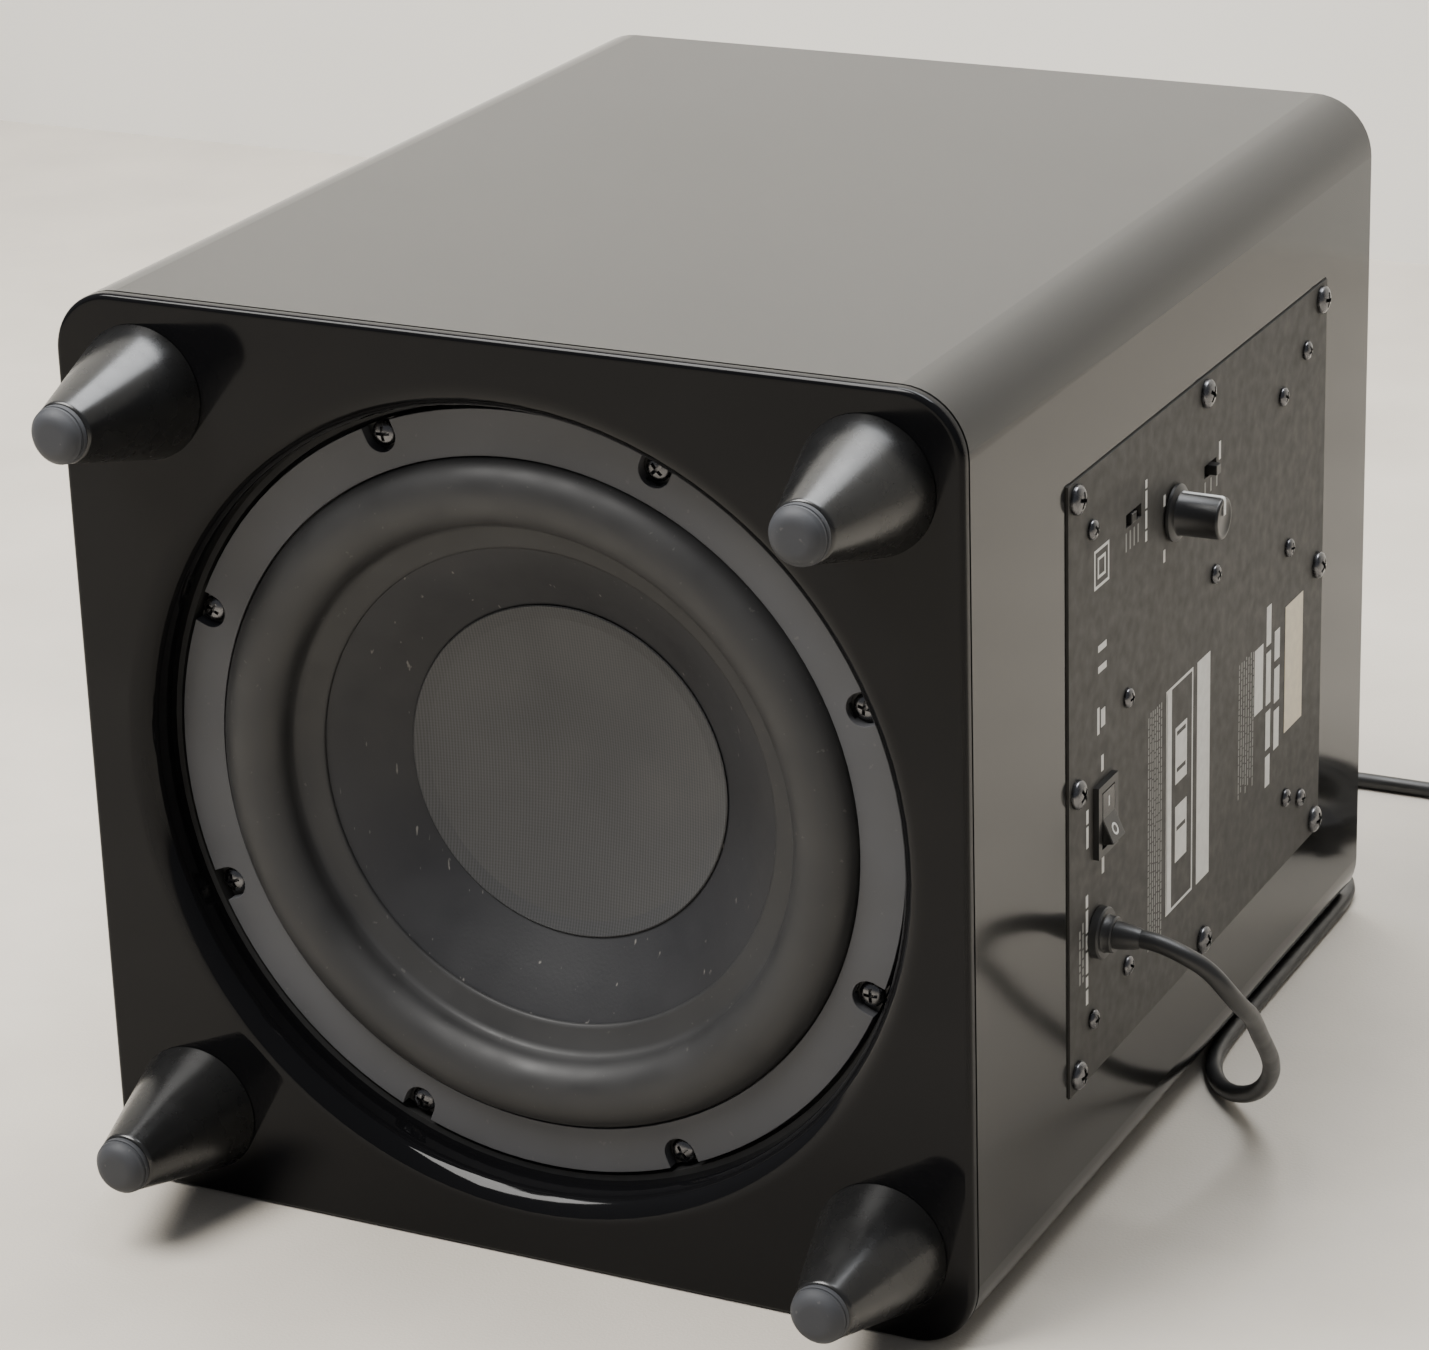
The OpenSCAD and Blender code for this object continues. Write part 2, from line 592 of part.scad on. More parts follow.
module power_rocker() color([0.07, 0.07, 0.07])
    translate([rocker_pivot_x, rocker_pos[0], rocker_pos[1]]) rotate([0, -rocker_tilt, 0]) {
        rise = rocker_half_l * tan(rocker_tilt);
        rotate([90, 0, 0]) translate([0, 0, -rocker_w / 2]) linear_extrude(rocker_w)
            polygon([[3, 0], [3 + rise, rocker_half_l], [-0.5, rocker_half_l], [-5, 4], [-5, -4],
                [-0.5, -rocker_half_l], [3 + rise, -rocker_half_l]]);
        translate([0, -5.8, 0]) rotate([-90, 0, 0]) cylinder(r = rocker_pin_r, h = 11.6);
    }

module blank_sticker() color([0.8, 0.77, 0.68]) side_box([103.7, 126.7], plate_out, plate_out + 0.15, 18, 47);

module cord_bushing() color([0.05, 0.05, 0.05]) {
    on_side(bushing_pos, 0) difference() {
        union() {
            translate([0, 0, plate_out]) cylinder(r = 8.6, h = 3.4);
            translate([0, 0, plate_out + 3]) cylinder(r = 6, h = 3.7);
            translate([0, 0, 148]) cylinder(r = 6, h = 8);
        }
        translate([0, 0, 147]) cylinder(r = bushing_bore_r, h = 20);
    }
    on_side(bushing_pos, 0) rotate_extrude() polygon([[0, 147], [bushing_bore_r + 0.4, 147],
        [bushing_bore_r + 0.4, 148.5], [relief_r, 161], [cord_d / 2 + 0.3, relief_end_x],
        [0, relief_end_x]]);
}

// ---- mains lead ----
module power_cord() color([0.06, 0.06, 0.06]) sweep(cord_route, cord_d / 2, 8);

module cord_coil() color([0.06, 0.06, 0.06]) translate([coil_pos[0], coil_pos[1], 0]) difference() {
    cylinder(r = coil_out_r, h = coil_h);
    translate([0, 0, -1]) cylinder(r = coil_in_r, h = coil_h + 2);
}

module power_plug() color([0.06, 0.06, 0.06]) {
    translate([plug_x, plug_y, plug_h / 2]) rotate([90, 0, 0])
        cylinder(r1 = cord_d / 2 + 0.2, r2 = 5.2, h = plug_relief_l + 0.5);
    body_y = plug_y - plug_relief_l;
    translate([plug_x, 0, 0]) linear_extrude(plug_h) polygon([[-7, body_y], [7, body_y],
        [13, body_y - 12], [13, body_y - plug_body_l], [-13, body_y - plug_body_l], [-13, body_y - 12]]);
}

module plug_pins() color("silver") for (x = [-1, 1])
    translate([plug_x + x * pin_pitch / 2, plug_y - plug_relief_l - plug_body_l, plug_h / 2])
        rotate([90, 0, 0]) cylinder(r = pin_r, h = pin_l);

// Hook-and-loop tie around the coil
module cord_tie() color([0.1, 0.1, 0.12]) translate([coil_pos[0], coil_pos[1], 0]) rotate([0, 0, 225])
    difference() {
        translate([coil_in_r - tie_t, -tie_w, 0])
            cube([coil_out_r - coil_in_r + 2 * tie_t, 2 * tie_w, coil_h + tie_t]);
        translate([coil_in_r + 0.1, -tie_w - 1, tie_t])
            cube([coil_out_r - coil_in_r - 0.3, 2 * tie_w + 2, coil_h - tie_t - 0.1]);
    }

cabinet_sleeve();
top_panel();
gloss_panel();
driver_baffle();
for (i = [0:3]) {
    foot(i);
    foot_pad(i);
}
foot_bolts();
driver_basket();
driver_trim_ring();
driver_seal();
driver_screws();
surround();
cone();
dust_cap();
coil_former();
voice_coil();
spider();
top_plate();
magnet();
pole_yoke();
magnet_boot();
terminal_strip();
tinsel_leads();
amp_plate();
amp_seal();
amp_screws();
amp_small_screws();
amp_back_box();
main_board();
board_standoffs();
capacitors();
supply_transformer();
filter_coils();
heatsink();
output_devices();
control_board();
volume_knob();
knob_pointer();
pot_shaft();
pot_body();
pot_nut();
crossover_switch();
crossover_slider();
mode_switch();
mode_slider();
power_switch();
power_rocker();
blank_sticker();
cord_bushing();
power_cord();
cord_coil();
cord_tie();
power_plug();
plug_pins();
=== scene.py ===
"""Looks of a powered subwoofer that lies on its side. Metres, in the CAD frame."""

import json
import math

import bmesh
import bpy
from mathutils import Matrix, Vector

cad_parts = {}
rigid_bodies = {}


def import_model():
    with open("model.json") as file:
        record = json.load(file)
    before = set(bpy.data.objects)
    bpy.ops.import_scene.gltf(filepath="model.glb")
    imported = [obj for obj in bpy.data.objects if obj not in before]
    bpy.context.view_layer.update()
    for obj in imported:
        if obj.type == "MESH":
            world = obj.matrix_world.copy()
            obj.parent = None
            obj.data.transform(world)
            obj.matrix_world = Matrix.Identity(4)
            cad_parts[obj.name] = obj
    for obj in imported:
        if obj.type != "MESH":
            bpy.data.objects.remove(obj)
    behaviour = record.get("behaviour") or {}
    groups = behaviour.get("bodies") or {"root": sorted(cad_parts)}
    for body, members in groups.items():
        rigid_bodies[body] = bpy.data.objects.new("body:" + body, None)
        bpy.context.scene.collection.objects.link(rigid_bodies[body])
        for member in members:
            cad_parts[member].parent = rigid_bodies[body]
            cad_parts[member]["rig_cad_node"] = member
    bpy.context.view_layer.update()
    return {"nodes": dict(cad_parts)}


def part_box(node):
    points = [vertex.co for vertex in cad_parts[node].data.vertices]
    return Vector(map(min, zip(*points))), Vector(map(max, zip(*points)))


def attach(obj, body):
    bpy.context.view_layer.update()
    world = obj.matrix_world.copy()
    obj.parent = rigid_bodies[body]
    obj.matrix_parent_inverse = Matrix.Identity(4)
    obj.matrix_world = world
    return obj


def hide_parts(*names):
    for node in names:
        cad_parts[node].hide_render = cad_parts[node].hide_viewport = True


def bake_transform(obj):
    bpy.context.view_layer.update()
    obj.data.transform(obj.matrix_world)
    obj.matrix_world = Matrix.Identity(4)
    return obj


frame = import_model()

MM = 0.001
Y_AXIS = Vector((0, 1, 0))

# ---- places, from the CAD ----
panel_low, panel_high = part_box("gloss_panel")
plate_low, plate_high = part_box("amp_plate")
FRONT = panel_low.y
HALF = panel_high.x
AXIS_Z = (panel_low.z + panel_high.z) / 2
EDGE_R = 21 * MM
PLATE_X = plate_high.x
PLATE_Y = (plate_low.y + plate_high.y) / 2
PLATE_Z = (plate_low.z + plate_high.z) / 2


# ---- camera and mains lead ----
def make_camera():
    data = bpy.data.cameras.new("camera")
    data.lens = 116
    data.sensor_width = 36
    data.clip_start = 0.05
    camera = bpy.data.objects.new("camera", data)
    bpy.context.scene.collection.objects.link(camera)
    turn = Matrix.Rotation(math.radians(26.94), 4, "Z")
    tilt = Matrix.Rotation(math.radians(90 - 21.32), 4, "X")
    roll = Matrix.Rotation(math.radians(-1.91), 4, "Z")
    camera.matrix_world = Matrix.Translation((0.654, -1.3231, 0.7136)) @ turn @ tilt @ roll
    bpy.context.scene.camera = camera


CORD_D = 6 * MM
# The same points as cord_route in the CAD, in millimetres
CORD_ROUTE = [
    (171, -80, 101), (174, -80, 101), (179.5, -80, 100), (185.5, -79.5, 97.5), (190.5, -78, 94.5),
    (194.5, -76.5, 90.5), (198, -74, 84.5), (200.5, -67, 76), (200.5, -59, 70.5), (199, -47, 57.5),
    (198, -37, 48), (196, -27, 39), (193, -18, 30), (188, -9, 20.5), (181, -1, 12), (172, 7, 6),
    (163.5, 15, 3), (156.5, 25, 3), (152.5, 37, 3), (151, 50, 3), (150.5, 65, 3), (150.5, 88, 3),
    (150.5, 112, 3), (150.5, 136, 3), (150.5, 158, 3), (150.5, 177, 3), (149, 191, 3),
    (141.5, 204, 3), (129, 211.5, 3), (111, 214, 3), (92, 216, 3), (76, 223, 3), (66, 236, 3),
    (62, 252, 3), (69, 270, 3), (83, 284, 3), (102, 292, 3), (125, 293, 3), (158, 293, 3),
    (192, 293, 3),
]
COIL_CENTRE = (210, 254)
COIL_OUT, COIL_IN = 39, 24
COIL_TURNS = 5.25
LAYER = 6


def coil_points():
    """Two layers wound clockwise: inwards on the surface, then outwards on top."""
    per_turn = 20
    step_up = 0.25
    inward = (COIL_OUT - COIL_IN) / LAYER
    points = []
    for i in range(int(COIL_TURNS * per_turn) + 1):
        turn = i / per_turn
        angle = math.pi / 2 - 2 * math.pi * turn
        climb = min(max((turn - inward) / step_up, 0), 1)
        climb = climb * climb * (3 - 2 * climb)
        if turn < inward:
            radius = COIL_OUT - LAYER * turn
        else:
            radius = COIL_IN + LAYER * max(turn - inward - step_up, 0)
        points.append((COIL_CENTRE[0] + radius * math.cos(angle),
                       COIL_CENTRE[1] + radius * math.sin(angle),
                       LAYER / 2 + LAYER * climb))
    return points


def meshed(curve):
    """Mesh of a curve as it is drawn."""
    drawn = bpy.data.objects.new("drawn_curve", curve)
    bpy.context.scene.collection.objects.link(drawn)
    graph = bpy.context.evaluated_depsgraph_get()
    mesh = bpy.data.meshes.new_from_object(drawn.evaluated_get(graph))
    bpy.data.objects.remove(drawn)
    return mesh


def make_cord():
    plug_low, plug_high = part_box("power_plug")
    end_x, end_y = (plug_low.x + plug_high.x) / 2 / MM, plug_high.y / MM
    end_z = (plug_low.z + plug_high.z) / 2 / MM
    points = CORD_ROUTE + coil_points() + [(end_x, end_y + 5, end_z + 0.8), (end_x, end_y, end_z)]
    data = bpy.data.curves.new("mains_lead", "CURVE")
    data.dimensions = "3D"
    data.bevel_depth = CORD_D / 2
    data.bevel_resolution = 6
    data.resolution_u = 6
    data.use_fill_caps = True
    spline = data.splines.new("NURBS")
    spline.points.add(len(points) - 1)
    for point, place in zip(spline.points, points):
        point.co = (*(Vector(place) * MM), 1)
    spline.order_u = 4
    spline.use_endpoint_u = True
    tube = meshed(data)
    tube.shade_smooth()
    data.use_fill_caps = False
    data.bevel_depth = 0
    middle = [vertex.co.copy() for vertex in meshed(data).vertices]
    bpy.data.curves.remove(data)
    cord = bpy.data.objects.new("mains_lead", tube)
    bpy.context.scene.collection.objects.link(cord)
    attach(cord, "root")
    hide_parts("power_cord", "cord_coil")
    return cord, middle


make_camera()
mains_lead, lead_middle = make_cord()


# ---- mesh tools ----
def keep(bm, name, body="root", sharp=35):
    """Stores the mesh as a new piece that rides on a body, or on nothing yet if there is none."""
    bmesh.ops.recalc_face_normals(bm, faces=bm.faces)
    mesh = bpy.data.meshes.new(name)
    bm.to_mesh(mesh)
    bm.free()
    mesh.shade_smooth()
    mesh.set_sharp_from_angle(angle=math.radians(sharp))
    piece = bpy.data.objects.new(name, mesh)
    bpy.context.scene.collection.objects.link(piece)
    if body:
        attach(piece, body)
    return piece


def towards(origin, axis):
    """Matrix that puts local z along axis, at origin."""
    return Matrix.Translation(origin) @ Vector(axis).to_track_quat("Z", "Y").to_matrix().to_4x4()


def on_driver():
    """Local z is the depth on the driver axis, local x is +X."""
    return Matrix.Translation((0, FRONT, AXIS_Z)) @ Matrix.Rotation(-math.pi / 2, 4, "X")


def on_plate(y, z, x=None):
    """Local z leaves the amplifier plate, local y is +Y and local x is down."""
    return Matrix.Translation((PLATE_X if x is None else x, y, z)) @ Matrix.Rotation(math.pi / 2, 4, "Y")


def lathe_into(bm, profile, matrix, segments=96, loop=False):
    """Turns a profile of (radius, height) around local z."""
    rings = []
    for radius, height in profile:
        if radius < 1e-7:
            rings.append([bm.verts.new(matrix @ Vector((0, 0, height)))])
        else:
            rings.append([bm.verts.new(matrix @ Vector((radius * math.cos(a), radius * math.sin(a), height)))
                          for a in (2 * math.pi * k / segments for k in range(segments))])
    pairs = list(zip(rings, rings[1:] + rings[:1])) if loop else list(zip(rings, rings[1:]))
    for low, high in pairs:
        for k in range(segments):
            n = (k + 1) % segments
            corners = [low[k % len(low)], low[n % len(low)], high[n % len(high)], high[k % len(high)]]
            corners = list(dict.fromkeys(corners))
            if len(corners) > 2:
                bm.faces.new(corners)


def lathe(name, profile, matrix, segments=96, loop=False, body="root", sharp=35):
    bm = bmesh.new()
    lathe_into(bm, profile, matrix, segments, loop)
    return keep(bm, name, body, sharp)


def arc(centre, radius, start, end, steps):
    """Points of a circular arc, angles in degrees."""
    return [(centre[0] + radius * math.cos(math.radians(start + (end - start) * i / steps)),
             centre[1] + radius * math.sin(math.radians(start + (end - start) * i / steps)))
            for i in range(steps + 1)]


def box_into(bm, low, high, matrix=Matrix.Identity(4)):
    """Box between two corners."""
    corners = [bm.verts.new(matrix @ Vector((x, y, z)))
               for x in (low[0], high[0]) for y in (low[1], high[1]) for z in (low[2], high[2])]
    for face in ((0, 1, 3, 2), (4, 6, 7, 5), (0, 4, 5, 1), (2, 3, 7, 6), (0, 2, 6, 4), (1, 5, 7, 3)):
        bm.faces.new([corners[i] for i in face])


def applied(piece):
    """Applies the piece's modifiers to its mesh."""
    graph = bpy.context.evaluated_depsgraph_get()
    mesh = bpy.data.meshes.new_from_object(piece.evaluated_get(graph))
    piece.modifiers.clear()
    piece.data = mesh
    return piece


def softened(node, width, segments=2, angle=40, body="root"):
    """Copy of a CAD node with its sharp edges broken by a small round."""
    bm = bmesh.new()
    bm.from_mesh(frame["nodes"][node].data)
    bmesh.ops.remove_doubles(bm, verts=bm.verts, dist=0.005 * MM)
    bmesh.ops.dissolve_limit(bm, angle_limit=math.radians(0.5), verts=bm.verts, edges=bm.edges)
    piece = keep(bm, node + "_shell", body, 30)
    bevel = piece.modifiers.new("edges", "BEVEL")
    bevel.width = width
    bevel.segments = segments
    bevel.limit_method = "ANGLE"
    bevel.angle_limit = math.radians(angle)
    bevel.harden_normals = True
    bevel.use_clamp_overlap = True
    applied(piece)
    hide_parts(node)
    return piece


def dress(piece, material):
    """Gives a piece or a CAD node its material."""
    data = piece.data
    data.materials.clear()
    data.materials.append(material)
    return piece


# ---- material tools ----
class Look:
    """A procedural material on one Principled shader."""

    def __init__(self, name, color, roughness, **sockets):
        self.material = bpy.data.materials.new(name)
        self.material.use_nodes = True
        self.tree = self.material.node_tree
        self.shader = self.tree.nodes["Principled BSDF"]
        self.color = color
        self.shader.inputs["Base Color"].default_value = (*color, 1)
        self.shader.inputs["Roughness"].default_value = roughness
        for socket, value in sockets.items():
            self.shader.inputs[socket.replace("_", " ")].default_value = value
        self.place = self.tree.nodes.new("ShaderNodeTexCoord").outputs["Object"]
        self.normal = None

    def link(self, source, target):
        self.tree.links.new(source, target)

    def noise(self, scale, detail=4, stretch=(1, 1, 1), roughness=0.5):
        place = self.place
        if stretch != (1, 1, 1):
            mapping = self.tree.nodes.new("ShaderNodeMapping")
            mapping.inputs["Scale"].default_value = stretch
            self.link(place, mapping.inputs["Vector"])
            place = mapping.outputs["Vector"]
        node = self.tree.nodes.new("ShaderNodeTexNoise")
        node.inputs["Scale"].default_value = scale
        node.inputs["Detail"].default_value = detail
        node.inputs["Roughness"].default_value = roughness
        self.link(place, node.inputs["Vector"])
        return node.outputs["Fac"]

    def wave(self, scale, direction="X", distortion=0.0):
        node = self.tree.nodes.new("ShaderNodeTexWave")
        node.bands_direction = direction
        node.inputs["Scale"].default_value = scale
        node.inputs["Distortion"].default_value = distortion
        node.inputs["Detail"].default_value = 0
        self.link(self.place, node.inputs["Vector"])
        return node.outputs["Fac"]

    def spread(self, source, low, high, start=0.3, end=0.7):
        node = self.tree.nodes.new("ShaderNodeMapRange")
        node.inputs["From Min"].default_value = start
        node.inputs["From Max"].default_value = end
        node.inputs["To Min"].default_value = low
        node.inputs["To Max"].default_value = high
        self.link(source, node.inputs["Value"])
        return node.outputs["Result"]

    def combine(self, a, b, operation="MULTIPLY"):
        node = self.tree.nodes.new("ShaderNodeMath")
        node.operation = operation
        for source, socket in ((a, node.inputs[0]), (b, node.inputs[1])):
            if isinstance(source, (int, float)):
                socket.default_value = source
            else:
                self.link(source, socket)
        return node.outputs["Value"]

    def blend(self, factor, first, second):
        """Color between two colors."""
        node = self.tree.nodes.new("ShaderNodeMix")
        node.data_type = "RGBA"
        self.link(factor, node.inputs["Factor"])
        for value, socket in ((first, node.inputs[6]), (second, node.inputs[7])):
            if isinstance(value, tuple):
                socket.default_value = (*value, 1)
            else:
                self.link(value, socket)
        return node.outputs[2]

    def paint(self, color):
        self.link(color, self.shader.inputs["Base Color"])

    def rough(self, source):
        self.link(source, self.shader.inputs["Roughness"])

    def bump(self, height, depth, strength=1.0):
        node = self.tree.nodes.new("ShaderNodeBump")
        node.inputs["Strength"].default_value = strength
        node.inputs["Distance"].default_value = depth
        self.link(height, node.inputs["Height"])
        if self.normal:
            self.link(self.normal, node.inputs["Normal"])
        self.normal = node.outputs["Normal"]
        self.link(self.normal, self.shader.inputs["Normal"])

    def shade(self, amount, scale, stretch=(1, 1, 1)):
        """Varies the color a little, lighter and darker."""
        low = tuple(c * (1 - amount) for c in self.color)
        high = tuple(min(c * (1 + amount), 1) for c in self.color)
        self.paint(self.blend(self.spread(self.noise(scale, 5, stretch), 0, 1), low, high))


# ---- materials ----
def lacquer_look():
    look = Look("cabinet lacquer", (0.012, 0.0118, 0.0112), 0.12, Specular_IOR_Level=0.3)
    look.shade(0.2, 6)
    look.rough(look.spread(look.noise(9, 6), 0.09, 0.16))
    look.bump(look.noise(160, 2), 0.02 * MM, 0.35)
    return look.material


def piano_look():
    look = Look("piano lacquer", (0.004, 0.004, 0.0045), 0.07, Specular_IOR_Level=0.16)
    look.shade(0.2, 5)
    look.rough(look.spread(look.noise(14, 6), 0.03, 0.12))
    look.bump(look.noise(70, 2), 0.02 * MM, 0.25)
    return look.material


def plastic_look(name, color, roughness, grain=900.0, depth=0.03, sheen=0.5):
    look = Look(name, color, roughness, Specular_IOR_Level=sheen)
    look.shade(0.12, 40)
    look.rough(look.spread(look.noise(120, 4), roughness * 0.85, min(roughness * 1.15, 1)))
    look.bump(look.noise(grain, 3), depth * MM, 0.5)
    return look.material


def metal_look(name, color, roughness, grain=500.0, stretch=(1, 1, 1)):
    look = Look(name, color, roughness, Metallic=1.0)
    look.shade(0.15, 60, stretch)
    look.rough(look.spread(look.noise(grain, 4, stretch), roughness * 0.7, min(roughness * 1.4, 1)))
    look.bump(look.noise(grain, 3, stretch), 0.01 * MM, 0.4)
    return look.material


def dusty_look(name, color, roughness, dust=0.12, grain=1400.0, depth=0.05, sheen=0.4, fall=(1, 1, 1)):
    """Matt driver part with a little dust on it."""
    look = Look(name, color, roughness, Specular_IOR_Level=sheen)
    base = look.blend(look.spread(look.noise(30, 5), 0, 1),
                      tuple(c * 0.85 for c in color), tuple(c * 1.15 for c in color))
    specks = look.spread(look.noise(420, 2, fall), 0, dust, 0.7, 0.76)
    look.paint(look.blend(specks, base, (0.35, 0.33, 0.3)))
    look.rough(look.spread(look.noise(60, 5), roughness * 0.85, min(roughness * 1.15, 1)))
    look.bump(look.noise(grain, 3), depth * MM, 0.5)
    return look.material


def weave_look():
    """Fine parallel ribs of the dust cap's cloth."""
    look = Look("cap weave", (0.045, 0.046, 0.048), 0.5, Specular_IOR_Level=0.45)
    ribs = look.wave(310, "X", 0.4)
    cross = look.wave(310, "Z", 0.4)
    pattern = look.combine(look.combine(ribs, 0.75), look.combine(cross, 0.25), "ADD")
    look.paint(look.blend(pattern, (0.032, 0.033, 0.034), (0.06, 0.061, 0.064)))
    look.rough(look.spread(look.noise(40, 5), 0.42, 0.56))
    look.bump(pattern, 0.06 * MM, 0.6)
    return look.material


def plate_look():
    look = Look("plate powder coat", (0.033, 0.031, 0.028), 0.62)
    look.shade(0.1, 30)
    look.rough(look.spread(look.noise(200, 4), 0.55, 0.7))
    look.bump(look.noise(1600, 3, roughness=0.7), 0.05 * MM, 0.7)
    return look.material


def ink_look(name, color):
    look = Look(name, color, 0.6)
    look.shade(0.08, 300)
    look.rough(look.spread(look.noise(300, 3), 0.5, 0.7))
    return look.material


def board_look(name, color):
    look = Look(name, color, 0.8)
    look.shade(0.25, 150)
    look.bump(look.noise(700, 5), 0.1 * MM, 0.6)
    return look.material


LACQUER = lacquer_look()
PIANO = piano_look()
FOOT = plastic_look("foot lacquer", (0.008, 0.008, 0.008), 0.27, 300, 0.02, 0.55)
FOOT_RUBBER = dusty_look("foot rubber", (0.035, 0.037, 0.042), 0.62)
TRIM = dusty_look("trim rubber", (0.07, 0.071, 0.076), 0.55, 0.08)
SURROUND = dusty_look("surround rubber", (0.02, 0.02, 0.0205), 0.55, 0.1, 1800, 0.02, 0.5)
CONE = dusty_look("coated cone", (0.015, 0.0155, 0.018), 0.55, 0.4, 900, 0.08, 0.45, (1, 1, 0.3))
CAP = weave_look()
BLACK_STEEL = metal_look("black screws", (0.13, 0.13, 0.135), 0.25)
PLATE = plate_look()
WHITE_INK = ink_look("white print", (0.6, 0.6, 0.58))
GREY_INK = ink_look("small print", (0.22, 0.22, 0.21))
STICKER = ink_look("blank label", (0.62, 0.56, 0.44))
SATIN = plastic_look("satin plastic", (0.011, 0.011, 0.011), 0.35)
GLOSS = plastic_look("gloss plastic", (0.01, 0.01, 0.01), 0.2)
PVC = plastic_look("lead sheath", (0.016, 0.016, 0.016), 0.42, 700, 0.03)
FOAM = board_look("foam seal", (0.02, 0.02, 0.02))
BOARD = board_look("fibreboard", (0.3, 0.21, 0.12))
BLACK_BOARD = board_look("painted fibreboard", (0.01, 0.01, 0.01))
BASKET = plastic_look("basket paint", (0.015, 0.015, 0.015), 0.45)
STEEL = metal_look("zinc steel", (0.6, 0.6, 0.6), 0.3)
DARK_STEEL = metal_look("motor steel", (0.2, 0.2, 0.2), 0.4)
ALUMINIUM = metal_look("extruded aluminium", (0.75, 0.75, 0.76), 0.35, 300, (1, 1, 0.05))
COPPER = metal_look("enamelled copper", (0.6, 0.26, 0.1), 0.3)
FERRITE = board_look("ferrite", (0.06, 0.06, 0.065))
CLOTH = board_look("spider cloth", (0.5, 0.38, 0.14))
BOOT = plastic_look("boot rubber", (0.02, 0.02, 0.02), 0.6)
CIRCUIT = plastic_look("circuit board", (0.01, 0.11, 0.04), 0.35)
FILM = plastic_look("former film", (0.5, 0.3, 0.08), 0.3)
TAPE = plastic_look("transformer tape", (0.6, 0.48, 0.06), 0.4)
SLEEVE = plastic_look("capacitor sleeve", (0.02, 0.025, 0.08), 0.3)
TIE = board_look("hook and loop", (0.02, 0.02, 0.024))
NICKEL = metal_look("nickel pins", (0.75, 0.74, 0.7), 0.2)

CAD_LOOKS = {
    "cabinet_sleeve": LACQUER, "top_panel": LACQUER, "driver_baffle": BLACK_BOARD, "foot_bolts": STEEL,
    "driver_seal": FOAM, "coil_former": FILM, "voice_coil": COPPER,
    "top_plate": DARK_STEEL, "magnet": FERRITE, "pole_yoke": DARK_STEEL, "magnet_boot": BOOT,
    "terminal_strip": BOARD, "amp_seal": FOAM, "amp_back_box": BASKET,
    "main_board": CIRCUIT, "board_standoffs": STEEL, "capacitors": SLEEVE,
    "supply_transformer": TAPE, "filter_coils": COPPER, "heatsink": ALUMINIUM,
    "output_devices": SATIN, "control_board": CIRCUIT, "pot_shaft": STEEL, "pot_body": STEEL,
    "pot_nut": STEEL, "crossover_switch": SATIN, "mode_switch": SATIN, "cord_tie": TIE,
    "plug_pins": NICKEL,
}
for node_name, node_look in CAD_LOOKS.items():
    dress(frame["nodes"][node_name], node_look)


# ---- gloss panel ----
def square_ring(inset, corner_steps=16, side_steps=24):
    """Points of the rounded square, inset from the panel's outline, anticlockwise from +X."""
    half, radius = HALF - inset, max(EDGE_R - inset, 0.4 * MM)
    straight = half - radius
    points = []
    for k in range(4):
        turn = Matrix.Rotation(k * math.pi / 2, 2)
        for i in range(side_steps):
            points.append(turn @ Vector((half, straight * (2 * i / side_steps - 1))))
        for i in range(corner_steps):
            a = math.pi / 2 * i / corner_steps
            points.append(turn @ Vector((straight + radius * math.cos(a), straight + radius * math.sin(a))))
    return points


def make_gloss_panel():
    """Rounded square with softened outer edges and a round opening with a curved lip."""
    rim, thick, edge = 4 * MM, panel_high.y - FRONT, 1.8 * MM
    lip, hole, step = 8.5 * MM, 131.5 * MM, 139.7 * MM
    guide = square_ring(0)

    def circle(radius):
        return [p.normalized() * radius for p in guide]

    rings = [(square_ring(0), rim - 0.5 * MM)]
    for i in range(7):
        a = math.radians(90 - 15 * i)
        rings.append((square_ring(edge - edge * math.sin(a)), edge * (1 - math.cos(a))))
    rings.append((square_ring(edge + 0.6 * MM), 0.0))
    rings.append((circle(hole + lip + 0.8 * MM), 0.0))
    for i in range(13):
        a = math.radians(90 * i / 12)
        rings.append((circle(hole + lip * (1 - math.sin(a))), lip * (1 - math.cos(a))))
    rings.append((circle(hole), thick))
    rings.append((square_ring(HALF - step), thick))
    rings.append((square_ring(HALF - step), rim))
    rings.append((square_ring(0.5 * MM), rim))
    bm = bmesh.new()
    matrix = on_driver()
    loops = [[bm.verts.new(matrix @ Vector((p.x, p.y, depth))) for p in ring] for ring, depth in rings]
    for low, high in zip(loops, loops[1:] + loops[:1]):
        for k in range(len(low)):
            n = (k + 1) % len(low)
            bm.faces.new([low[k], low[n], high[n], high[k]])
    panel = keep(bm, "gloss_panel_shell")
    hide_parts("gloss_panel")
    return dress(panel, PIANO)


